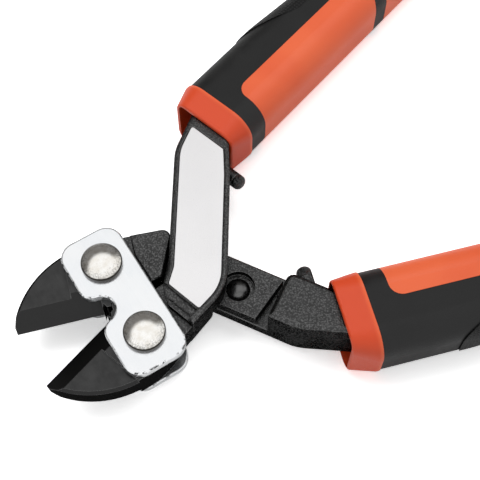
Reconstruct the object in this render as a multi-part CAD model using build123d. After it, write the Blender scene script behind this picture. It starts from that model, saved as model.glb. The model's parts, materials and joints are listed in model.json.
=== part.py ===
from build123d import *
import math
import os

# Bolt cutters, in millimetres. One lever is modelled closed, in the head's frame: the rivet line is x = 0,
# the jaws point to -X, the handles to +X, and z = 0 is the plane between the two levers. That lever has the
# lower jaw and the upper handle. The other lever is the same one turned half round about the X axis.

# Head
PIVOT_SPACING = 31.2        # between the two jaw rivets
OPEN_ANGLE = 17.4           # turn of each lever from closed to open, in degrees
PLATE_LENGTH = 57.8         # of a side plate, across the tool
PLATE_FRONT = 12.4          # reach of the plate ahead of the rivets
PLATE_BACK = 11.6           # reach of the plate behind the rivets
PLATE_THICKNESS = 3.4
PLATE_CORNER = 6.5
PLATE_EDGE = 0.8            # rounding of the plate's outer edge
NOTCH_RADIUS = 5.0          # throat notch in the plate's front
NOTCH_FLOOR = 3.8           # floor of the notch ahead of the rivets
NOTCH_FLARE = 5.5           # rounding of the notch's mouth
RIVET_RADIUS = 5.0
RIVET_HEAD_RADIUS = 7.5
RIVET_HEAD_HEIGHT = 4.2
RIVET_WALL = 1.8            # upright side of the head, below its dome
RIVET_ROUND = 0.9
RUNNING_FIT = 0.05          # radial clearance of a jaw on its rivet
SIDE_CLEARANCE = 0.1        # between a jaw and a side plate

# Jaw
JAW_THICKNESS = 12.0
JAW_DEPTH = 27.2            # from the cutting edge to the back of the jaw
JAW_ARC = 35.2              # radius of the rounded back
JAW_ARC_X = -1.5            # where the back is deepest
JAW_BACK_END = 8.0          # rear end of the rounded back
TIP_LENGTH = 34.9           # of the edge's tip from the rivets
NOSE_DEPTH = 2.2            # of the blunt front below the tip
CHEEK_HALF = 4.8            # half of the blade's thickness ahead of the plates
CHEEK_STEP = 13.5           # rear end of the thin blade, ahead of the rivets
CHEEK_EDGE = 1.1            # bevel of the blade's back
EDGE_CLEARANCE = 0.05       # of each edge from the closing line
EDGE_LAND = 0.2             # flat width of the ground edge
EDGE_REAR = 3.2             # rear end of the edge, ahead of the rivets
BEVEL_WIDTH = 6.9           # of the ground edge
RELIEF = (-2.6, -1.6)       # foot of the notch between edge and heel
HEEL_CLEARANCE = 0.06       # of each rolling heel from the pitch circle
HEEL_FRONT = 1.6            # front end of the heel's arc, ahead of the rivets
HEEL_REAR = 11.0            # rear end of the heel's arc, behind the rivets
TOOTH_RADIUS = 2.4          # round tooth that keeps the two heels in step
TOOTH_CLEARANCE = 0.15
LAP_CLEARANCE = 0.15        # of each lever from the plane between them
SHOULDER_RAISE = 1.0        # height of the shoulder above the jaw's side
SHOULDER_EDGE = 0.5         # bevel of the shoulder's rim
SHOULDER_GAP = 0.5          # of the shoulder from the plate's back, open and closed
SHOULDER_TOP = -5.6
SHOULDER_WALL = [(20.0, -6.7), (28.0, -24.9)]      # stop wall beside the other arm
SHOULDER_ROUND = 3.0        # rounding of the wall's foot
SEAT_HEIGHT = 5.0           # face between the jaw's tail and the arm
TAIL_INSET = 2.5            # inner edge of the tail and the neck's back, from the arm's inner edge
TAIL_MARGIN = 0.4           # tail's outer edge from the arm's outer edge
TAIL_END = [29.8, 26.6]     # tail's end from the bend, at its outer and inner edge
BLADE_RIVET_RUN = 40.6      # from the bend, along the arm
BLADE_RIVET_SIDE = 1.35     # from the arm's middle, outwards
BLADE_RIVET_RADIUS = 3.5
BLADE_RIVET_HEAD_RADIUS = 4.5
BLADE_RIVET_HEAD_HEIGHT = 2.6
COUNTERBORE_RADIUS = 6.2
COUNTERBORE_DEPTH = 2.9

# Arm
ARM_ANGLE = 39.5            # of the arm from the handle's direction, in degrees
ARM_WIDTH = 21.3
ARM_DEPTH = 26.5            # of the arm's low corner from the closing line
ARM_FACE = 11.0             # height of the outer face
ARM_BACK = 10.0             # depth of the neck's raised side
ARM_EDGE = 0.9              # bevel of the outer face's rim
NECK_EDGE = 1.4             # bevel of the neck's raised side
NECK_CORNER = 3.0           # rounding of the raised side's front corner
ARM_BEND = (78.5, 26.3)     # where the arm's line meets the handle's line
ARM_FRONT = 13.3            # front end of the arm, butted on the jaw
ARM_CORNER = 18.0           # rounding of the outer corner
NECK_START = 24.6           # start of the full-thickness neck, from the bend
NECK_END = 85.0
NECK_INNER_SIDE = 7.0       # of the neck's end from the handle's middle, inwards
NECK_INNER_RUN = 24.0       # where the inner edge turns to the neck's end, from the bend
NECK_OUTER_SIDE = 7.7       # of the neck's end from the handle's middle, outwards
NECK_OUTER_RUN = 13.0       # where the outer edge turns to the neck's end, from the bend
NECK_ROUND = 20.0
NOSE_SHOULDER_Y = -5.0      # where the outer edge turns to the front end
NOSE_CORNER = (17.3, -8.2)
NOSE_SIDE_Y = -14.5         # upper end of the flat front
NOSE_ROUNDS = (5.0, 3.0, 2.0)
TROUGH_REAR = 18.2          # scooped front of the arm
TROUGH_RIM = 2.3            # rim left beside the scoop
RIDGE_WIDTH = 1.4
RIDGE_HEIGHT = 8.6
TROUGH_FLOOR = 8.2
PANEL_RIM = 1.8             # black rim round the bright face panel
PANEL_FRONT = 16.6
PANEL_REAR = 75.9
PANEL_THICKNESS = 1.0
PANEL_GAP = 0.2             # line round the panel
PANEL_EDGE = 0.25
PANEL_CORNER = 1.2

# Bumper
BUMPER_RADIUS = 2.9
BUMPER_STEM_RADIUS = 1.9
BUMPER_STEM_LENGTH = 5.0
BUMPER_TIP = 0.15           # of each bumper from the closing line
BUMPER_ROUND = 2.2
BOSS_FACE = 4.0             # seat of the bumper, from the closing line
BOSS_ROOT = 9.7             # where the boss leaves the neck's back, from the closing line
BOSS_DEPTH = 6.0            # of the boss inside the neck

# Handle
TANG_RADIUS = 7.0
TANG_ROOT = 4.0             # length of the tang inside the neck
TANG_END = 128.0
TUBE_WALL = 2.0
PIN_RADIUS = 2.0
PIN_PLACES = (100.0, 118.0)
HANDLE_END = 314.0
HANDLE_SHIFT = 0.3          # of the handle's line from the bend, outwards
GRIP_WIDTH = 33.8
GRIP_THICKNESS = 27.6
GRIP_ROUND = 10.0           # rounding of the grip's long edges
GRIP_FRONT = 87.8
SWELL_END = 125.0           # end of the wide part at the front
WAIST_WIDTH = 30.4
WAIST_START = 165.0
FLARE_LENGTH = 32.0         # from the waist to the wide end
END_LENGTH = 20.0           # of the wide end
BLEND_RADIUS = 60.0
SLEEVE_WALL = 2.6
WINDOW_EDGE = 1.7           # of the orange panels from the grip's middle
WINDOW_FRONT = 96.2
WINDOW_ROUND = 5.0
WINDOW_REAR_ROUND = 2.0
BAND_X = 176.0              # slanted band between the two panels
BAND_WIDTH = 6.5
BAND_SLANT = 27.0
WINDOW_REAR = 250.0
PATCH_FRONT = 143.5
PATCH_REAR = 243.0
PATCH_SLANT = 25.0          # run of the patch's slanted ends
PATCH_EDGE = 5.2            # of the palm patch from the grip's middle
PATCH_ROUND = 3.0
PATCH_DEPTH = 1.3
PATCH_RAISE = 0.5
CAP_LENGTH = 7.0
CAP_ROUND = 5.0
CAP_PLUG = 14.0
COLLAR_FRONT = 77.4
COLLAR_FLARE = 9.2          # length of the flared part
COLLAR_WIDTH = 28.6         # at its front
COLLAR_THICKNESS = 26.4     # at its front
COLLAR_SHIFT = 1.1          # of the collar's front towards the other handle
COLLAR_ROUND = 6.0
COLLAR_EDGE = 0.9
LIP_WIDTH = 34.4
LIP_ROUND = 9.5
MOUTH_WIDTH = 26.0
MOUTH_SHIFT = 1.3           # of the mouth towards the other handle
MOUTH_THICKNESS = 23.0
MOUTH_ROUND = 2.8
MOUTH_FLOOR = 86.0

# Values that follow from the sizes above
PIVOT = (0.0, -PIVOT_SPACING / 2)
JAW_HALF = JAW_THICKNESS / 2
PLATE_INNER = JAW_HALF + SIDE_CLEARANCE
PLATE_OUTER = PLATE_INNER + PLATE_THICKNESS
HANDLE_Y = ARM_BEND[1] + HANDLE_SHIFT
TUBE_RADIUS = TANG_RADIUS + TUBE_WALL
GRIP_HALF = GRIP_WIDTH / 2
GRIP_FLAT = GRIP_THICKNESS / 2
BACK_INNER = TAIL_INSET - ARM_WIDTH / 2     # inner edge of the tail and the neck's back, across the arm
WAIST_END = HANDLE_END - END_LENGTH - FLARE_LENGTH
FLARE_START = HANDLE_END - END_LENGTH
BEYOND = 60.0               # length of cutting tools that reach past the part
MARGIN = 1.0                # small overshoot of a cutting tool
NEAR = 0.01


def arm_point(along, across):
    """A point in the arm's own directions: along it from the bend, and across it towards its outer edge."""
    turn = math.radians(ARM_ANGLE)
    x = ARM_BEND[0] + along * math.cos(turn) - across * math.sin(turn)
    y = ARM_BEND[1] + along * math.sin(turn) + across * math.cos(turn)
    return (x, y)


def arm_line(across, y):
    """The point at height y on the line that runs along the arm at a distance across it."""
    start = arm_point(0, across)
    return (start[0] + (y - start[1]) / math.tan(math.radians(ARM_ANGLE)), y)


def blade_rivet_place():
    """Middle of the rivet that joins the jaw's tail to the arm."""
    return arm_point(-BLADE_RIVET_RUN, BLADE_RIVET_SIDE)


def outline(corners):
    """A face from (x, y, rounding) corners."""
    points = [(x, y) for x, y, _ in corners]
    return make_face(FilletPolyline(*points, radius=[r for _, _, r in corners], close=True))


def slab(face, low, high):
    """A flat face thickened from one height to another."""
    return extrude(Pos(0, 0, low) * face, high - low)


def disc(centre, radius, low, high):
    """An upright cylinder."""
    return slab(Pos(*centre) * Circle(radius), low, high)


def dome(radius, height):
    """A spherical cap that stands on z = 0."""
    ball = (radius**2 + height**2) / (2 * height)
    return (Pos(0, 0, height - ball) * Sphere(ball)) & slab(Circle(radius), 0, height)


def arm_outline():
    """Plan of the whole arm, from its front end to the tang."""
    inner = -ARM_WIDTH / 2
    outer = ARM_WIDTH / 2
    return outline(
        [
            (ARM_FRONT, -ARM_DEPTH, 0),
            (*arm_line(inner, -ARM_DEPTH), ARM_CORNER),
            (*arm_point(-NECK_INNER_RUN, inner), NECK_ROUND),
            (NECK_END, HANDLE_Y - NECK_INNER_SIDE, 0),
            (NECK_END, HANDLE_Y + NECK_OUTER_SIDE, 0),
            (*arm_point(-NECK_OUTER_RUN, outer), NECK_ROUND),
            (*arm_line(outer, NOSE_SHOULDER_Y), NOSE_ROUNDS[0]),
            (*NOSE_CORNER, NOSE_ROUNDS[1]),
            (ARM_FRONT, NOSE_SIDE_Y, NOSE_ROUNDS[2]),
        ]
    )


def ahead_of(distance):
    """Half of the plan: all that lies before a line square to the arm, at a distance before its bend."""
    centre = arm_point(-distance - BEYOND, 0)
    return Pos(*centre) * Rot(0, 0, ARM_ANGLE) * Rectangle(2 * BEYOND, 2 * BEYOND)


def shoulder_step():
    """Shoulder's edge beside the plate, which clears the plate's back both closed and open."""
    clear = PLATE_BACK + SHOULDER_GAP
    turn = math.radians(OPEN_ANGLE)
    meet = PIVOT[1] - clear * math.tan(turn / 2)
    top = (clear + math.sin(turn) * (SHOULDER_TOP - PIVOT[1])) / math.cos(turn)
    return [(clear, -JAW_DEPTH), (clear, meet), (top, SHOULDER_TOP)]


def back_of_jaw(x):
    """The point of the jaw's rounded back at a place along the tool."""
    return (x, JAW_ARC - JAW_DEPTH - math.sqrt(JAW_ARC**2 - (x - JAW_ARC_X) ** 2))


def jaw_plan():
    """Plan of the jaw and its shoulder: cutting edge, rolling heel, stop wall and rounded back."""
    heel = PIVOT_SPACING / 2 - HEEL_CLEARANCE
    tip = (-TIP_LENGTH, -EDGE_CLEARANCE)
    nose_x = JAW_ARC_X - math.sqrt(JAW_ARC**2 - (JAW_ARC - JAW_DEPTH + NOSE_DEPTH) ** 2)
    edge_end = (-EDGE_REAR, -EDGE_CLEARANCE)
    heel_front = (-HEEL_FRONT, PIVOT[1] + math.sqrt(heel**2 - HEEL_FRONT**2))
    heel_rear = (HEEL_REAR, PIVOT[1] + math.sqrt(heel**2 - HEEL_REAR**2))
    nose = (nose_x, -NOSE_DEPTH)
    back = back_of_jaw(JAW_BACK_END)
    wall_top, wall_foot = SHOULDER_WALL
    return make_face(
        [
            Polyline(nose, tip, edge_end, RELIEF, heel_front),
            ThreePointArc(heel_front, (0, PIVOT[1] + heel), heel_rear),
            Polyline(heel_rear, shoulder_step()[-1], wall_top),
            FilletPolyline(wall_top, wall_foot, back, radius=SHOULDER_ROUND),
            ThreePointArc(back, back_of_jaw(-CHEEK_STEP), nose),
        ]
    )


def inner_strip():
    """Strip along the arm's inner edge that the tail and the neck's back leave free."""
    corners = [(-BEYOND, BACK_INNER), (BEYOND, BACK_INNER), (BEYOND, -BEYOND), (-BEYOND, -BEYOND)]
    return make_face(Polyline(*[arm_point(*corner) for corner in corners], close=True))


def tail_plan():
    """Plan of the tail: the arm's own outline, drawn in at the sides and cut off before the neck."""
    outer_end, inner_end = TAIL_END
    inner = BACK_INNER
    outer = ARM_WIDTH / 2 + BEYOND
    past_end = make_face(
        Polyline(
            arm_point(-inner_end, inner),
            arm_point(-outer_end, ARM_WIDTH / 2),
            arm_point(-outer_end, outer),
            arm_point(BEYOND, outer),
            arm_point(BEYOND, inner),
            close=True,
        )
    )
    return offset(arm_outline(), -TAIL_MARGIN) - past_end - inner_strip()


def bevel_cut(side):
    """The wedge ground off one side of the edge."""
    land = EDGE_LAND / 2
    rise = CHEEK_HALF - land
    profile = Polyline(
        (-EDGE_CLEARANCE, land),
        (-EDGE_CLEARANCE - 2 * BEVEL_WIDTH, land + 2 * rise),
        (BEYOND, land + 2 * rise),
        (BEYOND, land),
        close=True,
    )
    wedge = extrude(Plane.YZ * make_face(profile), -BEYOND)
    wedge = Pos(-EDGE_REAR, 0, 0) * wedge
    return wedge if side > 0 else mirror(wedge, Plane.XY)


def tooth_centre():
    """The tooth's middle, on the pitch circle, in line with the rivets when the jaws are half open."""
    turn = math.radians(OPEN_ANGLE / 2)
    pitch = PIVOT_SPACING / 2
    return (pitch * math.sin(turn), PIVOT[1] + pitch * math.cos(turn))


def jaw():
    """Hardened jaw: thin blade, pivot eye, rolling heel, raised shoulder and the tail that the arm laps."""
    plan = jaw_plan()
    seat = Pos(ARM_FRONT + BEYOND, 0) * Rectangle(2 * BEYOND, 4 * BEYOND)
    ahead = Pos(-CHEEK_STEP - BEYOND, 0) * Rectangle(2 * BEYOND, 4 * BEYOND)
    step = shoulder_step()
    before_step = make_face(
        Polyline(*step, (step[-1][0], BEYOND), (-BEYOND, BEYOND), (-BEYOND, -BEYOND), (step[0][0], -BEYOND),
                 close=True)
    )
    shoulder = slab(plan - before_step, -JAW_HALF - SHOULDER_RAISE, -JAW_HALF)
    shoulder = chamfer(shoulder.faces().sort_by(Axis.Z)[0].edges(), SHOULDER_EDGE)
    blade = slab(plan & ahead, -CHEEK_HALF, CHEEK_HALF)
    blade = chamfer(blade.edges().filter_by(GeomType.CIRCLE), CHEEK_EDGE)
    body = slab(plan - ahead, -JAW_HALF, JAW_HALF) + blade + shoulder - slab(seat, SEAT_HEIGHT, BEYOND)
    body += slab(tail_plan(), LAP_CLEARANCE, SEAT_HEIGHT)
    body += disc(tooth_centre(), TOOTH_RADIUS, LAP_CLEARANCE, JAW_HALF)
    body -= disc(tooth_centre(), TOOTH_RADIUS + TOOTH_CLEARANCE, -BEYOND, 0)
    body -= bevel_cut(1)
    body -= bevel_cut(-1)
    body -= disc(PIVOT, RIVET_RADIUS + RUNNING_FIT, -BEYOND, BEYOND)
    body -= disc(blade_rivet_place(), BLADE_RIVET_RADIUS, -BEYOND, BEYOND)
    body -= disc(blade_rivet_place(), COUNTERBORE_RADIUS, -BEYOND, LAP_CLEARANCE + COUNTERBORE_DEPTH)
    return body


def panel_plan():
    """Plan of the recess in the arm's outer face."""
    length = PANEL_REAR - PANEL_FRONT
    middle = (PANEL_REAR + PANEL_FRONT) / 2
    reach = Pos(middle, 0) * Rectangle(length, 2 * BEYOND)
    inside = offset(arm_outline() & reach, -PANEL_RIM - PANEL_CORNER)
    return offset(inside, PANEL_CORNER)


def trough_cut():
    """The scoop across the arm's front end, with a low ridge before it."""
    front = ARM_FRONT - MARGIN
    above = ARM_FACE + MARGIN
    ridge_end = ARM_FRONT + RIDGE_WIDTH
    middle = (ridge_end + TROUGH_REAR) / 2
    profile = make_face(
        [
            ThreePointArc((ridge_end, RIDGE_HEIGHT), (middle, TROUGH_FLOOR), (TROUGH_REAR, ARM_FACE)),
            Polyline((TROUGH_REAR, ARM_FACE), (TROUGH_REAR, above), (front, above), (front, RIDGE_HEIGHT),
                     (ridge_end, RIDGE_HEIGHT)),
        ]
    )
    scoop = extrude(Plane.XZ * profile, -BEYOND)
    return Pos(0, TROUGH_RIM - ARM_DEPTH, 0) * scoop


def arm():
    """Forged arm: tongue over the jaw's tail, full-thickness neck, bumper boss and round tang."""
    plan = arm_outline()
    body = slab(plan, SEAT_HEIGHT, ARM_FACE)
    body = chamfer(body.faces().sort_by(Axis.Z)[-1].edges().filter_by(
        lambda e: e.center().X < NECK_END - NEAR and e.center().X > ARM_FRONT + NEAR), ARM_EDGE)
    body -= trough_cut()
    back = plan - ahead_of(NECK_START) - inner_strip()
    back = fillet(back.vertices().sort_by_distance((*arm_point(-NECK_START, BACK_INNER), 0))[0], NECK_CORNER)
    neck = slab(back, -ARM_BACK, SEAT_HEIGHT)
    neck = chamfer(neck.faces().sort_by(Axis.Z)[0].edges().filter_by(
        lambda e: e.center().X < NECK_END - NEAR), NECK_EDGE)
    body += neck
    body += bumper_bar(BOSS_FACE, BOSS_ROOT + BOSS_DEPTH, BUMPER_RADIUS)
    body -= slab(panel_plan(), ARM_FACE - PANEL_THICKNESS, ARM_FACE + MARGIN)
    body -= disc(blade_rivet_place(), BLADE_RIVET_RADIUS, -BEYOND, BEYOND)
    body -= bumper_stem()
    body += along_handle(NECK_END - TANG_ROOT, TANG_END, TANG_RADIUS)
    body -= tang_pins()
    return body


def along_handle(start, end, radius):
    """A round bar on the handle's line."""
    return extrude(Plane.YZ.offset(start) * Pos(HANDLE_Y, 0) * Circle(radius), end - start)


def arm_panel():
    """Bright face panel that lies in the arm's recess and covers the rivet's flush end."""
    plan = offset(panel_plan(), -PANEL_GAP)
    panel = slab(plan, ARM_FACE - PANEL_THICKNESS, ARM_FACE)
    return chamfer(panel.faces().sort_by(Axis.Z)[-1].edges(), PANEL_EDGE)


def blade_rivet():
    """Rivet that holds the jaw's tail to the arm, its domed head sunk in the tail's counterbore."""
    seat = LAP_CLEARANCE + COUNTERBORE_DEPTH
    head = dome(BLADE_RIVET_HEAD_RADIUS, BLADE_RIVET_HEAD_HEIGHT)
    head = Pos(*blade_rivet_place(), seat) * Rot(180, 0, 0) * head
    return head + disc(blade_rivet_place(), BLADE_RIVET_RADIUS, seat, ARM_FACE - PANEL_THICKNESS)


def bumper_bar(low, high, radius):
    """A round bar on the bumper's line, which is square to the closing line."""
    x = arm_line(BACK_INNER, BOSS_ROOT)[0]
    return extrude(Plane(origin=(x, low, 0), z_dir=(0, 1, 0)) * Circle(radius), high - low)


def bumper_stem():
    """The bumper's stem, which is also the hole in the boss."""
    return bumper_bar(BOSS_FACE, BOSS_FACE + BUMPER_STEM_LENGTH, BUMPER_STEM_RADIUS)


def bumper():
    """Rubber bumper that meets its twin when the handles close."""
    head = bumper_bar(BUMPER_TIP, BOSS_FACE, BUMPER_RADIUS)
    head = fillet(head.edges().sort_by(Axis.Y)[0], BUMPER_ROUND)
    return head + bumper_stem()


def handle_tube():
    """Steel tube over the tang."""
    tube = along_handle(MOUTH_FLOOR, HANDLE_END, TUBE_RADIUS)
    return tube - along_handle(MOUTH_FLOOR, HANDLE_END, TANG_RADIUS) - tang_pins()


def tang_pins():
    """Cross pins through tube and tang, flush with the tube."""
    pins = [Pos(x, HANDLE_Y, 0) * Cylinder(PIN_RADIUS, 4 * TUBE_RADIUS) for x in PIN_PLACES]
    round_off = along_handle(MOUTH_FLOOR, TANG_END, TUBE_RADIUS)
    return Part() + [pin & round_off for pin in pins]


def grip_blank(start, inset):
    """The grip's whole outer form, drawn in by an inset: flat above and below, rounded along its edges."""
    inner = HANDLE_Y - GRIP_HALF + inset
    outer = HANDLE_Y + GRIP_HALF - inset
    waist = inner + WAIST_WIDTH - 2 * inset
    plan = outline(
        [
            (start, inner, 0),
            (HANDLE_END, inner, 0),
            (HANDLE_END, outer, 0),
            (FLARE_START, outer, BLEND_RADIUS),
            (WAIST_END, waist, BLEND_RADIUS),
            (WAIST_START, waist, BLEND_RADIUS),
            (SWELL_END, outer, BLEND_RADIUS),
            (start, outer, 0),
        ]
    )
    blank = slab(plan, inset - GRIP_FLAT, GRIP_FLAT - inset)
    rims = blank.faces().sort_by(Axis.Z)[0].edges() + blank.faces().sort_by(Axis.Z)[-1].edges()
    long_edges = rims.filter_by(lambda e: abs(e.tangent_at(0.5).X) > 0.5)
    return fillet(long_edges, GRIP_ROUND - inset)


def window_plans():
    """Plans of the two orange panels, parted by a slanted band."""
    edge = HANDLE_Y - WINDOW_EDGE
    low = HANDLE_Y - BEYOND
    lean = (edge - low) * math.tan(math.radians(BAND_SLANT))
    band = BAND_WIDTH / math.cos(math.radians(BAND_SLANT))
    first = outline(
        [
            (WINDOW_FRONT, low, 0),
            (BAND_X - lean, low, 0),
            (BAND_X, edge, WINDOW_REAR_ROUND),
            (WINDOW_FRONT, edge, WINDOW_ROUND),
        ]
    )
    second = outline(
        [
            (BAND_X + band - lean, low, 0),
            (WINDOW_REAR, low, 0),
            (WINDOW_REAR, edge, WINDOW_ROUND),
            (BAND_X + band, edge, WINDOW_REAR_ROUND),
        ]
    )
    return first, second


def windows():
    """Upright tools in the shape of the orange panels."""
    first, second = window_plans()
    return slab(first, -BEYOND, BEYOND) + slab(second, -BEYOND, BEYOND)


def patch_tool():
    """Upright tool in the shape of the palm patch, on the outer side of the grip."""
    edge = HANDLE_Y + PATCH_EDGE
    far = HANDLE_Y + GRIP_WIDTH
    lean = PATCH_SLANT * (far - edge) / (GRIP_HALF - PATCH_EDGE)
    plan = outline(
        [
            (PATCH_FRONT, edge, PATCH_ROUND),
            (PATCH_REAR, edge, PATCH_ROUND),
            (PATCH_REAR + lean, far, 0),
            (PATCH_FRONT - lean, far, 0),
        ]
    )
    return slab(plan, -GRIP_FLAT, GRIP_FLAT)


def collar():
    """Flared orange collar with a mouth for the arm's neck."""
    lip = RectangleRounded(LIP_WIDTH, GRIP_THICKNESS, LIP_ROUND)
    front = RectangleRounded(COLLAR_WIDTH, COLLAR_THICKNESS, COLLAR_ROUND)
    flare_end = COLLAR_FRONT + COLLAR_FLARE
    at_lip = Plane.YZ.offset(flare_end) * Pos(HANDLE_Y, 0)
    at_front = Plane.YZ.offset(COLLAR_FRONT) * Pos(HANDLE_Y - COLLAR_SHIFT, 0)
    body = loft([at_front * front, at_lip * lip], ruled=True)
    body = fillet(body.faces().sort_by(Axis.X)[0].edges(), COLLAR_EDGE)
    body += extrude(at_lip * lip, GRIP_FRONT - flare_end)
    mouth = RectangleRounded(MOUTH_WIDTH, MOUTH_THICKNESS, MOUTH_ROUND)
    at_mouth = Plane.YZ.offset(COLLAR_FRONT - MARGIN) * Pos(HANDLE_Y - MOUTH_SHIFT, 0)
    return body - extrude(at_mouth * mouth, MOUTH_FLOOR - COLLAR_FRONT + MARGIN)


def grip_core():
    """Hard orange core: collar, inner body and the two panels that show in the sleeve's windows."""
    body = collar() + grip_blank(GRIP_FRONT, SLEEVE_WALL)
    body += grip_blank(GRIP_FRONT, 0) & windows()
    return body - along_handle(MOUTH_FLOOR - BEYOND, HANDLE_END, TUBE_RADIUS)


def grip_sleeve():
    """Soft black sleeve over the core, open at the panels and recessed for the palm patch."""
    body = grip_blank(GRIP_FRONT, 0) - grip_blank(GRIP_FRONT, SLEEVE_WALL) - windows()
    return body - (patch_tool() - grip_blank(GRIP_FRONT, PATCH_DEPTH))


def palm_patch():
    """Textured palm patch that stands a little proud of the sleeve's side."""
    return (grip_blank(GRIP_FRONT, -PATCH_RAISE) - grip_blank(GRIP_FRONT, PATCH_DEPTH)) & patch_tool()


def end_cap():
    """Cap on the handle's end, with a plug in the tube."""
    section = grip_blank(GRIP_FRONT, 0).faces().sort_by(Axis.X)[-1]
    cap = extrude(section, CAP_LENGTH)
    cap = fillet(cap.faces().sort_by(Axis.X)[-1].edges(), CAP_ROUND)
    return cap + along_handle(HANDLE_END - CAP_PLUG, HANDLE_END, TANG_RADIUS)


def side_plate():
    """Side plate that lies on the front of the jaws: two rivet holes and a flared throat notch."""
    width = PLATE_FRONT + PLATE_BACK
    plan = Pos((PLATE_BACK - PLATE_FRONT) / 2, 0) * RectangleRounded(width, PLATE_LENGTH, PLATE_CORNER)
    notch_x = -NOTCH_FLOOR - NOTCH_RADIUS
    flare_x = NOTCH_FLARE - PLATE_FRONT
    flare_y = math.sqrt((NOTCH_RADIUS + NOTCH_FLARE) ** 2 - (flare_x - notch_x) ** 2)
    touch_x = notch_x + (flare_x - notch_x) * NOTCH_RADIUS / (NOTCH_RADIUS + NOTCH_FLARE)
    mouth = Pos(touch_x - BEYOND / 2, 0) * Rectangle(BEYOND, 2 * flare_y)
    for y in (flare_y, -flare_y):
        mouth -= Pos(flare_x, y) * Circle(NOTCH_FLARE)
    plan -= mouth + Pos(notch_x, 0) * Circle(NOTCH_RADIUS)
    plate = slab(plan, PLATE_INNER, PLATE_OUTER)
    plate = fillet(plate.faces().sort_by(Axis.Z)[-1].edges(), PLATE_EDGE)
    for y in (PIVOT[1], -PIVOT[1]):
        plate -= disc((0, y), RIVET_RADIUS, -BEYOND, BEYOND)
    return plate


def jaw_rivet():
    """Bright rivet through both plates and a jaw, domed at both ends."""
    head = disc((0, 0), RIVET_HEAD_RADIUS, 0, RIVET_WALL)
    head += Pos(0, 0, RIVET_WALL) * dome(RIVET_HEAD_RADIUS, RIVET_HEAD_HEIGHT - RIVET_WALL)
    rim = head.faces().filter_by(GeomType.CYLINDER)[0].edges().filter_by(GeomType.CIRCLE).sort_by(Axis.Z)[-1]
    head = Pos(0, 0, PLATE_OUTER) * fillet(rim, RIVET_ROUND)
    shank = disc((0, 0), RIVET_RADIUS, -PLATE_OUTER, PLATE_OUTER)
    return Pos(*PIVOT) * (shank + head + Rot(180, 0, 0) * head)


def open_lever(piece):
    """Turns a piece of the modelled lever from closed to open on its rivet."""
    return Pos(*PIVOT) * Rot(0, 0, OPEN_ANGLE) * Pos(-PIVOT[0], -PIVOT[1]) * piece


def other_side(piece):
    """Turns a piece half round about the tool's long axis."""
    return Rot(180, 0, 0) * piece


def build():
    """All pieces by name, with the head's middle at the origin."""
    plate = side_plate()
    rivet = jaw_rivet()
    pieces = {
        "front_plate": plate,
        "back_plate": other_side(plate),
        "lower_jaw_rivet": rivet,
        "upper_jaw_rivet": other_side(rivet),
    }
    lever = {
        "arm": arm(),
        "arm_panel": arm_panel(),
        "blade_rivet": blade_rivet(),
        "bumper": bumper(),
        "handle_tube": handle_tube(),
        "tang_pins": tang_pins(),
        "grip_core": grip_core(),
        "grip_sleeve": grip_sleeve(),
        "palm_patch": palm_patch(),
        "end_cap": end_cap(),
    }
    for name, piece in lever.items():
        pieces["upper_" + name] = open_lever(piece)
        pieces["lower_" + name] = other_side(open_lever(piece))
    blade = open_lever(jaw())
    pieces["lower_jaw"] = blade
    pieces["upper_jaw"] = other_side(blade)
    return pieces


def main():
    """Sets the tool on its grips, centred on its own box, and writes one file for each piece."""
    pieces = build()
    box = Compound(children=[Part() + piece for piece in pieces.values()]).bounding_box()
    to_base = Pos(-box.center().X, -box.center().Y, -box.min.Z)
    os.makedirs("parts", exist_ok=True)
    for name, piece in pieces.items():
        export_step(to_base * piece, f"parts/{name}.step")
    print("head middle at", round(-box.center().X, 4), round(-box.center().Y, 4), round(-box.min.Z, 4))
    print("overall size", box.size)


if __name__ == "__main__":
    main()
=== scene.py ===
import json
import math

import bpy
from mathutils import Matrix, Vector


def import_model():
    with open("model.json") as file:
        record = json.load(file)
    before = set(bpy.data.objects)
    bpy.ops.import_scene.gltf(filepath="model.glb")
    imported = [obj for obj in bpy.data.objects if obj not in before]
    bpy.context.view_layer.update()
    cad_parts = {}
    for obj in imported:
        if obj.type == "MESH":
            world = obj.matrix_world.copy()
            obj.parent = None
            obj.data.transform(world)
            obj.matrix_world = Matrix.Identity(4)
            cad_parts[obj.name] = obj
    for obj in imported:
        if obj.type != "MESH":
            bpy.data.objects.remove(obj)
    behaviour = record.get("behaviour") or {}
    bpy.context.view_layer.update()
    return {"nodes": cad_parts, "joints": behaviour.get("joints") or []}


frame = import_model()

NODES = frame["nodes"]
MM = 0.001

# Places in the frame that the materials and the camera use
HINGE = frame["joints"][0]                  # one lever's hinge: the other one mirrors it
PIVOT = HINGE["pos_m"]
OPEN_ANGLE = HINGE["range_deg"][1]          # turn of each handle from the tool's long axis, in degrees
HEAD = (PIVOT[0], 0.0, PIVOT[2])            # middle of the head, between the two levers
PIVOT_Y = abs(PIVOT[1])                     # from the centre line to a rivet, away from its handle
PLATE_REAR = HEAD[0] + 12 * MM              # back edge of the side plates
COLLAR_REAR = 87.8 * MM                     # rear end of the orange collar, along the handle from its rivet
FADE = 2 * MM                               # width of the change from one finish to the next
DOT_PITCH = 1.3 * MM                        # between the rows of dots on the palm patches

# Black coating on steel
COAT_GRAIN = 0.6 * MM                       # size of its grains
COAT_DEPTH = 0.2 * MM                       # height of its grains
COAT_TOP = (0.45, 0.95)                     # grain height where the worn tops start, and where they are full
COAT_TINT = 0.25                            # weak reflection at grazing angles

# Grinding marks: noise drawn out along Y, and turned on the jaws
PLATE_MARKS = (1, 0.06, 1)
JAW_MARKS = (1, 0.15, 1)
JAW_MARKS_ANGLE = 20

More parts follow.
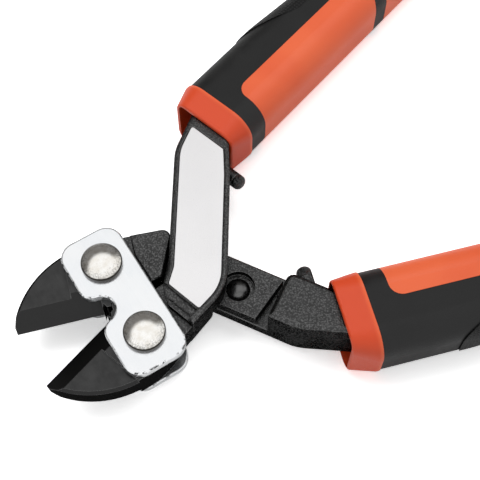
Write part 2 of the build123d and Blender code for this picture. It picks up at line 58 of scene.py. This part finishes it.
# Limits of masks: where each starts, and where it is full
NOISE_RANGE = (0.3, 0.7)                    # the values that noise mostly takes
CHIPPED = (0.53, 0.60)                      # noise, for chips in the plating
EDGE_WEAR_AND_GLINT_LIMITS = (0.02, 0.2)                     # turn of the rounded normal, as 1 less its cosine, on edges with wear and a painted highlight
OFF_FACE = (0.98, 0.85)                     # upright part of the normal, leaving a flat face
OFF_WALL = (0.15, 0.45)                     # upright part of the normal, leaving a wall
SLOPE_SHADE_LIMITS = (0.98, 0.92)                 # upright part of the normal, on a jaw, where its painted shade on sloping faces starts and is full
UNSHADED_TOP = (0.86, 1.06)                    # upright part of the normal and specks, on a rivet head; below it the painted shade of the rim takes over
SPECK_SHARE = 0.25                          # how far the specks shift that limit
DOT_RISE = (-0.1, 0.6)                      # wave height, for the dots of the palm patches

# Fineness of noise and of rounded edges
NOISE_ROUGHNESS = 0.55
EDGE_SAMPLES = 6


def grey(level):
    """A neutral colour."""
    return (level, level, level)


# Colours, in pairs where a surface varies between two
WHITE = grey(1.0)
PLATE = ((0.89, 0.91, 0.93), (0.93, 0.94, 0.95))
PLATE_CHIP = grey(0.05)
NICKEL = ((0.86, 0.825, 0.76), (0.99, 0.98, 0.95))
# painted shade, standing in for the contact shadow around a rivet head's rim
NICKEL_RIM_SHADE = (0.035, 0.032, 0.028)
JAW = (grey(0.050), grey(0.068))
# painted shade for the jaw's bevels and walls
JAW_SLOPE_SHADE = grey(0.036)
JAW_GRAIN = grey(0.18)
# lighter edges: wear, and a painted highlight along them
JAW_EDGE_WEAR_AND_GLINT = grey(0.24)
ARM = (grey(0.046), grey(0.062))
ARM_GRAIN = grey(0.15)
# lighter edges: wear, and a painted highlight along them
ARM_EDGE_WEAR_AND_GLINT = grey(0.22)
BLACK_RIVET = (grey(0.10), grey(0.15))
PANEL = ((0.89, 0.88, 0.885), (0.92, 0.91, 0.915))
ORANGE = ((0.81, 0.116, 0.034), (0.87, 0.144, 0.046))
# painted shade: the same orange, darker on the collar as if less lit
COLLAR_SHADED_ORANGE = (0.71, 0.066, 0.012)
SLEEVE = (grey(0.007), grey(0.012))
PATCH = (grey(0.006), grey(0.018))
RUBBER = (grey(0.006), grey(0.022))
TUBE = ((0.40, 0.40, 0.41), (0.52, 0.52, 0.53))


# Small helpers for node trees
def node(tree, kind, inputs=None, **settings):
    """Adds a node, sets its properties, and fills or links its inputs."""
    made = tree.nodes.new(kind)
    for key, value in settings.items():
        setattr(made, key, value)
    for key, value in (inputs or {}).items():
        if isinstance(value, bpy.types.NodeSocket):
            tree.links.new(value, made.inputs[key])
        else:
            made.inputs[key].default_value = value
    return made


def math_node(tree, operation, first, second=0.0):
    """One arithmetic step."""
    return node(tree, "ShaderNodeMath", {0: first, 1: second}, operation=operation).outputs[0]


def dot(tree, first, second):
    """The dot product of two vectors."""
    return node(tree, "ShaderNodeVectorMath", {0: first, 1: second}, operation="DOT_PRODUCT").outputs["Value"]


def axes(tree, vector):
    """The three parts of a vector."""
    return node(tree, "ShaderNodeSeparateXYZ", {"Vector": vector}).outputs


def ramp(tree, value, low, high, start=0.0, end=1.0):
    """Maps a range of values smoothly onto another."""
    return node(
        tree,
        "ShaderNodeMapRange",
        {"Value": value, "From Min": low, "From Max": high, "To Min": start, "To Max": end},
        interpolation_type="SMOOTHSTEP",
    ).outputs[0]


def mix(tree, share, first, second):
    """Blends two colours."""
    made = node(tree, "ShaderNodeMix", {"Factor": share}, data_type="RGBA")
    for socket, value in ((made.inputs[6], first), (made.inputs[7], second)):
        if isinstance(value, bpy.types.NodeSocket):
            tree.links.new(value, socket)
        else:
            socket.default_value = (*value, 1)
    return made.outputs[2]


def place(tree):
    """The surface's own coordinates, in metres, which ride with the piece."""
    return node(tree, "ShaderNodeTexCoord").outputs["Object"]


def turned(tree, angle, scale=(1, 1, 1)):
    """The surface's own coordinates, turned about Z and stretched."""
    inputs = {"Vector": place(tree), "Rotation": (0, 0, math.radians(angle)), "Scale": scale}
    return node(tree, "ShaderNodeMapping", inputs).outputs[0]


def noise(tree, size, detail=3.0, where=None):
    """Noise whose features have about the given size in metres."""
    inputs = {
        "Vector": where or place(tree),
        "Scale": 1 / size,
        "Detail": detail,
        "Roughness": NOISE_ROUGHNESS,
    }
    return node(tree, "ShaderNodeTexNoise", inputs).outputs["Fac"]


def spread(tree, value, start=0.0, end=1.0):
    """Spreads the usual range of noise over the given one."""
    return ramp(tree, value, *NOISE_RANGE, start, end)


def clouds(tree, size, detail=3.0):
    """Soft patches from 0 to 1."""
    return spread(tree, noise(tree, size, detail))


def grains(tree, size):
    """Height of rounded grains of about the given size in metres."""
    inputs = {"Vector": place(tree), "Scale": 1 / size}
    far = node(tree, "ShaderNodeTexVoronoi", inputs, feature="SMOOTH_F1").outputs["Distance"]
    return math_node(tree, "SUBTRACT", 1.0, far)


def rounded(tree, radius):
    """Surface normal with softly rounded edges."""
    return node(tree, "ShaderNodeBevel", {"Radius": radius}, samples=EDGE_SAMPLES).outputs[0]


def upright(tree, normal=None):
    """How straight a normal points up or down, from 0 to 1."""
    normal = normal or node(tree, "ShaderNodeTexCoord").outputs["Normal"]
    return math_node(tree, "ABSOLUTE", axes(tree, normal)["Z"])


def edge_wear_and_glint(tree, radius):
    """A mask that is 1 on sharp edges, for their wear and a painted highlight."""
    true = node(tree, "ShaderNodeNewGeometry").outputs["Normal"]
    same = dot(tree, rounded(tree, radius), true)
    return ramp(tree, math_node(tree, "SUBTRACT", 1.0, same), *EDGE_WEAR_AND_GLINT_LIMITS)


def near_edges(tree, radius):
    """A mask that is 1 along the rim between flat faces and their walls."""
    lift = upright(tree, rounded(tree, radius))
    return math_node(tree, "MULTIPLY", ramp(tree, lift, *OFF_FACE), ramp(tree, lift, *OFF_WALL))


def along_handle(tree):
    """Distance along the handle from its rivet, the same on both levers."""
    parts = axes(tree, place(tree))
    turn = math.radians(OPEN_ANGLE)
    length = math_node(tree, "MULTIPLY", math_node(tree, "SUBTRACT", parts["X"], HEAD[0]), math.cos(turn))
    aside = math_node(tree, "ADD", math_node(tree, "ABSOLUTE", parts["Y"]), PIVOT_Y)
    return math_node(tree, "ADD", length, math_node(tree, "MULTIPLY", aside, math.sin(turn)))


def bump(tree, height, depth, strength=1.0, normal=None):
    """Raises the surface by a height map."""
    inputs = {"Height": height, "Distance": depth, "Strength": strength}
    if normal is not None:
        inputs["Normal"] = normal
    return node(tree, "ShaderNodeBump", inputs).outputs[0]


def surface(name, metallic=0.0, specular=0.5):
    """A new material with its tree and its shader."""
    made = bpy.data.materials.new(name)
    made.use_nodes = True
    tree = made.node_tree
    shader = tree.nodes["Principled BSDF"]
    shader.inputs["Metallic"].default_value = metallic
    shader.inputs["Specular IOR Level"].default_value = specular
    return made, tree, shader


def black_metal(name):
    """A new material for steel under a black coating."""
    made, tree, shader = surface(name, metallic=1.0)
    shader.inputs["Specular Tint"].default_value = (*grey(COAT_TINT), 1)
    return made, tree, shader


def link(tree, source, shader, socket):
    """Links an output to one of the shader's inputs."""
    tree.links.new(source, shader.inputs[socket])


# Materials
def plate_steel():
    """Bright plated steel with faint grinding marks, chipped along its rims."""
    made, tree, shader = surface("plate_steel", metallic=1.0)
    grain = noise(tree, 0.6 * MM, 2.0, turned(tree, 0, PLATE_MARKS))
    chips = ramp(tree, noise(tree, 1.6 * MM, 4.0), *CHIPPED)
    chipped = math_node(tree, "MULTIPLY", chips, near_edges(tree, 1.2 * MM))
    bright = mix(tree, clouds(tree, 12 * MM), *PLATE)
    link(tree, mix(tree, chipped, bright, PLATE_CHIP), shader, "Base Color")
    link(tree, spread(tree, grain, 0.20, 0.27), shader, "Roughness")
    link(tree, bump(tree, grain, 0.004 * MM, 0.3, rounded(tree, 0.8 * MM)), shader, "Normal")
    return made


def rivet_nickel():
    """Domed nickel rivet, warm and smeared, with painted shade around its rim."""
    made, tree, shader = surface("rivet_nickel", metallic=1.0)
    smears = clouds(tree, 3 * MM, 4.0)
    specks = noise(tree, 0.6 * MM)
    speckled = math_node(tree, "ADD", upright(tree), math_node(tree, "MULTIPLY", specks, SPECK_SHARE))
    # painted shade: the head darkens where it turns down to the plate
    unshaded = ramp(tree, speckled, *UNSHADED_TOP)
    link(tree, mix(tree, unshaded, NICKEL_RIM_SHADE, mix(tree, smears, *NICKEL)), shader, "Base Color")
    link(tree, ramp(tree, smears, 0, 1, 0.08, 0.18), shader, "Roughness")
    link(tree, bump(tree, specks, 0.03 * MM, 0.4), shader, "Normal")
    return made


def jaw_steel():
    """Blackened steel, with painted shade on its bevels and walls, and granular behind the plates."""
    made, tree, shader = black_metal("jaw_steel")
    grain = noise(tree, 0.5 * MM, 2.0, turned(tree, JAW_MARKS_ANGLE, JAW_MARKS))
    coated = ramp(tree, axes(tree, place(tree))["X"], PLATE_REAR - FADE / 2, PLATE_REAR + FADE / 2)
    height = math_node(tree, "MULTIPLY", coated, grains(tree, COAT_GRAIN))
    cheek = mix(tree, clouds(tree, 6 * MM, 4.0), *JAW)
    # painted shade: sloping faces darker, as if turned away from the light
    dark = mix(tree, ramp(tree, upright(tree), *SLOPE_SHADE_LIMITS), cheek, JAW_SLOPE_SHADE)
    dark = mix(tree, ramp(tree, height, *COAT_TOP), dark, JAW_GRAIN)
    # edges lighter: wear, and a painted highlight
    link(tree, mix(tree, edge_wear_and_glint(tree, 0.4 * MM), dark, JAW_EDGE_WEAR_AND_GLINT), shader, "Base Color")
    link(tree, spread(tree, grain, 0.36, 0.46), shader, "Roughness")
    ground = bump(tree, grain, 0.01 * MM, 0.3, rounded(tree, 0.3 * MM))
    link(tree, bump(tree, height, COAT_DEPTH, 0.5, ground), shader, "Normal")
    return made


def arm_black():
    """Granular black coating on forged steel."""
    made, tree, shader = black_metal("arm_black")
    patches = clouds(tree, 5 * MM)
    coat = grains(tree, COAT_GRAIN)
    dark = mix(tree, ramp(tree, coat, *COAT_TOP), mix(tree, patches, *ARM), ARM_GRAIN)
    # edges lighter: wear, and a painted highlight
    link(tree, mix(tree, edge_wear_and_glint(tree, 0.6 * MM), dark, ARM_EDGE_WEAR_AND_GLINT), shader, "Base Color")
    link(tree, ramp(tree, patches, 0, 1, 0.26, 0.38), shader, "Roughness")
    link(tree, bump(tree, coat, COAT_DEPTH, 0.55, rounded(tree, 1 * MM)), shader, "Normal")
    return made


def rivet_black():
    """Black domed rivet, smoother than the arms."""
    made, tree, shader = black_metal("rivet_black")
    patches = clouds(tree, 2 * MM)
    link(tree, mix(tree, patches, *BLACK_RIVET), shader, "Base Color")
    link(tree, ramp(tree, patches, 0, 1, 0.24, 0.34), shader, "Roughness")
    coat = bump(tree, grains(tree, COAT_GRAIN), COAT_DEPTH / 2, 0.4, rounded(tree, 0.4 * MM))
    link(tree, coat, shader, "Normal")
    return made


def panel_bright():
    """Bright satin metal panel."""
    made, tree, shader = surface("panel_bright", metallic=1.0)
    grain = noise(tree, 0.4 * MM, 2.0)
    link(tree, mix(tree, clouds(tree, 20 * MM), *PANEL), shader, "Base Color")
    link(tree, spread(tree, grain, 0.27, 0.36), shader, "Roughness")
    link(tree, bump(tree, grain, 0.01 * MM, 0.4, rounded(tree, 0.2 * MM)), shader, "Normal")
    return made


def core_orange():
    """Hard moulded orange plastic, deeper in colour on the collar by painted shade."""
    made, tree, shader = surface("core_orange")
    skin = noise(tree, 0.5 * MM)
    orange = mix(tree, clouds(tree, 30 * MM, 2.0), *ORANGE)
    collar = ramp(tree, along_handle(tree), COLLAR_REAR, COLLAR_REAR - FADE)
    # painted shade on the collar
    link(tree, mix(tree, collar, orange, COLLAR_SHADED_ORANGE), shader, "Base Color")
    link(tree, spread(tree, skin, 0.34, 0.44), shader, "Roughness")
    link(tree, bump(tree, skin, 0.03 * MM, 0.5, rounded(tree, 0.4 * MM)), shader, "Normal")
    return made


def sleeve_black():
    """Soft black rubber with a fine skin."""
    made, tree, shader = surface("sleeve_black", specular=0.35)
    patches = clouds(tree, 12 * MM)
    link(tree, mix(tree, patches, *SLEEVE), shader, "Base Color")
    link(tree, ramp(tree, patches, 0, 1, 0.44, 0.56), shader, "Roughness")
    skin = bump(tree, grains(tree, 0.7 * MM), 0.1 * MM, 0.6, rounded(tree, 0.4 * MM))
    link(tree, skin, shader, "Normal")
    return made


def patch_black(name, side):
    """Palm patch with diagonal rows of small raised dots, on the handle's outer side."""
    made, tree, shader = surface(name, specular=0.25)
    along, across, up = axes(tree, turned(tree, -side * OPEN_ANGLE))
    outwards = math_node(tree, "MULTIPLY", across, side)
    from_middle = math_node(tree, "ABSOLUTE", math_node(tree, "SUBTRACT", up, HEAD[2]))
    around = math_node(tree, "SUBTRACT", outwards, from_middle)
    rows = []
    for operation in ("ADD", "SUBTRACT"):
        diagonal = math_node(tree, operation, along, around)
        rows.append(math_node(tree, "SINE", math_node(tree, "MULTIPLY", diagonal, math.pi / DOT_PITCH)))
    height = ramp(tree, math_node(tree, "MULTIPLY", *rows), *DOT_RISE)
    link(tree, mix(tree, height, *PATCH), shader, "Base Color")
    shader.inputs["Roughness"].default_value = 0.5
    link(tree, bump(tree, height, 0.3 * MM, 0.8, rounded(tree, 0.4 * MM)), shader, "Normal")
    return made


def bumper_rubber():
    """Lumpy moulded rubber."""
    made, tree, shader = surface("bumper_rubber")
    lumps = noise(tree, 3.5 * MM)
    link(tree, mix(tree, lumps, *RUBBER), shader, "Base Color")
    link(tree, spread(tree, lumps, 0.25, 0.4), shader, "Roughness")
    link(tree, bump(tree, lumps, 4 * MM), shader, "Normal")
    return made


def tube_steel():
    """Drawn steel."""
    made, tree, shader = surface("tube_steel", metallic=1.0)
    grain = noise(tree, 0.5 * MM, 2.0)
    link(tree, mix(tree, grain, *TUBE), shader, "Base Color")
    link(tree, spread(tree, grain, 0.3, 0.45), shader, "Roughness")
    return made


def dress(names, made):
    """Gives one material to several nodes."""
    for name in names:
        data = NODES[name].data
        data.materials.clear()
        data.materials.append(made)
        for polygon in data.polygons:
            polygon.material_index = 0


def both(name):
    """The two pieces with this name, one for each lever."""
    return ["upper_" + name, "lower_" + name]


dress(["front_plate", "back_plate"], plate_steel())
dress(both("jaw_rivet"), rivet_nickel())
dress(both("jaw"), jaw_steel())
dress(both("arm"), arm_black())
dress(both("blade_rivet"), rivet_black())
dress(both("arm_panel"), panel_bright())
dress(both("bumper"), bumper_rubber())
dress(both("handle_tube") + both("tang_pins"), tube_steel())
dress(both("grip_core"), core_orange())
dress(both("grip_sleeve") + both("end_cap"), sleeve_black())
dress(["upper_palm_patch"], patch_black("upper_patch_black", 1))
dress(["lower_palm_patch"], patch_black("lower_patch_black", -1))


# Floor and light
FLOOR_SIZE = 6
FLOOR_PALE = grey(0.86)                     # the floor's colour for the light that it throws on the part
FLOOR_SEEN = grey(1.6)                      # the floor's colour to the camera
FLOOR_GLOW = 0.35                           # glow added for the camera, which lightens the shadow
ROOM_LIGHT = grey(0.52)                     # even light from the room
FAR_SIDE = (0.03, 1.0, 0.0)                 # towards the room's dim far side
FAR_SIDE_COLOUR = (0.19, 0.185, 0.18)
FAR_SIDE_TOP = (0.80, 0.60)                 # height where the dim side starts, and where it is full
FAR_SIDE_EDGE = (0.0, 0.45)                 # share of the way to it where it starts, and where it is full
LAMP_AIM = (-0.02, 0.0, 0.0)


def seen_directly(tree, path):
    """1 for rays from the camera, also through something clear."""
    return math_node(tree, "MAXIMUM", path["Is Camera Ray"], path["Is Transmission Ray"])


def floor():
    """Pale floor that is white to the camera and in metal, and keeps the contact shadow."""
    bpy.ops.mesh.primitive_plane_add(size=FLOOR_SIZE, location=(0, 0, 0))
    made = bpy.context.object
    made.name = "floor"
    material, tree, shader = surface("floor_white")
    tree.nodes.remove(shader)
    path = node(tree, "ShaderNodeLightPath").outputs
    seen = seen_directly(tree, path)
    plain = mix(tree, path["Is Glossy Ray"], FLOOR_PALE, WHITE)
    diffuse = node(tree, "ShaderNodeBsdfDiffuse", {"Color": mix(tree, seen, plain, FLOOR_SEEN)}).outputs[0]
    glow = math_node(tree, "MULTIPLY", seen, FLOOR_GLOW)
    lift = node(tree, "ShaderNodeEmission", {"Strength": glow}).outputs[0]
    whole = node(tree, "ShaderNodeAddShader", {0: diffuse, 1: lift}).outputs[0]
    tree.links.new(whole, tree.nodes["Material Output"].inputs["Surface"])
    made.data.materials.append(material)


def world():
    """White studio: even soft light, and in metal a white room with a dim far side."""
    made = bpy.data.worlds.new("studio")
    bpy.context.scene.world = made
    made.use_nodes = True
    tree = made.node_tree
    back = tree.nodes["Background"]
    path = node(tree, "ShaderNodeLightPath").outputs
    view = node(tree, "ShaderNodeTexCoord").outputs["Generated"]
    aside = ramp(tree, dot(tree, view, FAR_SIDE), *FAR_SIDE_EDGE)
    low = ramp(tree, axes(tree, view)["Z"], *FAR_SIDE_TOP)
    room = mix(tree, math_node(tree, "MULTIPLY", aside, low), WHITE, FAR_SIDE_COLOUR)
    light = mix(tree, path["Is Glossy Ray"], ROOM_LIGHT, room)
    tree.links.new(mix(tree, seen_directly(tree, path), light, WHITE), back.inputs["Color"])
    back.inputs["Strength"].default_value = 1.0


def put(name, data, location, direction):
    """Places a lamp or a camera so that it looks in a direction."""
    made = bpy.data.objects.new(name, data)
    bpy.context.scene.collection.objects.link(made)
    made.location = location
    made.rotation_euler = direction.to_track_quat("-Z", "Y").to_euler()
    return made


def lamp(name, location, size, power):
    """A round soft light that metal doesn't show."""
    data = bpy.data.lights.new(name, "AREA")
    data.shape = "DISK"
    data.size = size
    data.energy = power
    made = put(name, data, location, Vector(LAMP_AIM) - Vector(location))
    made.visible_glossy = False


# Camera at the photograph's viewing angle
AIM = (HEAD[0] + 49.8 * MM, HEAD[1] + 1.3 * MM, HEAD[2])
AZIMUTH = -32.05
ELEVATION = 63.28
DISTANCE = 372 * MM
LENS = 74.25
SENSOR = 36
NEAREST = 10 * MM


def camera():
    """The photograph's camera."""
    data = bpy.data.cameras.new("camera")
    data.lens = LENS
    data.sensor_width = SENSOR
    data.clip_start = NEAREST
    turn = math.radians(AZIMUTH)
    lift = math.radians(ELEVATION)
    back = Vector((math.sin(turn) * math.cos(lift), -math.cos(turn) * math.cos(lift), math.sin(lift)))
    bpy.context.scene.camera = put("camera", data, Vector(AIM) + DISTANCE * back, -back)


floor()
world()
lamp("key", (-0.3, 0.55, 0.95), size=0.7, power=3.8)
lamp("fill", (0.45, 0.2, 1.0), size=0.8, power=3.0)
camera()
bpy.context.scene.view_settings.view_transform = "Standard"
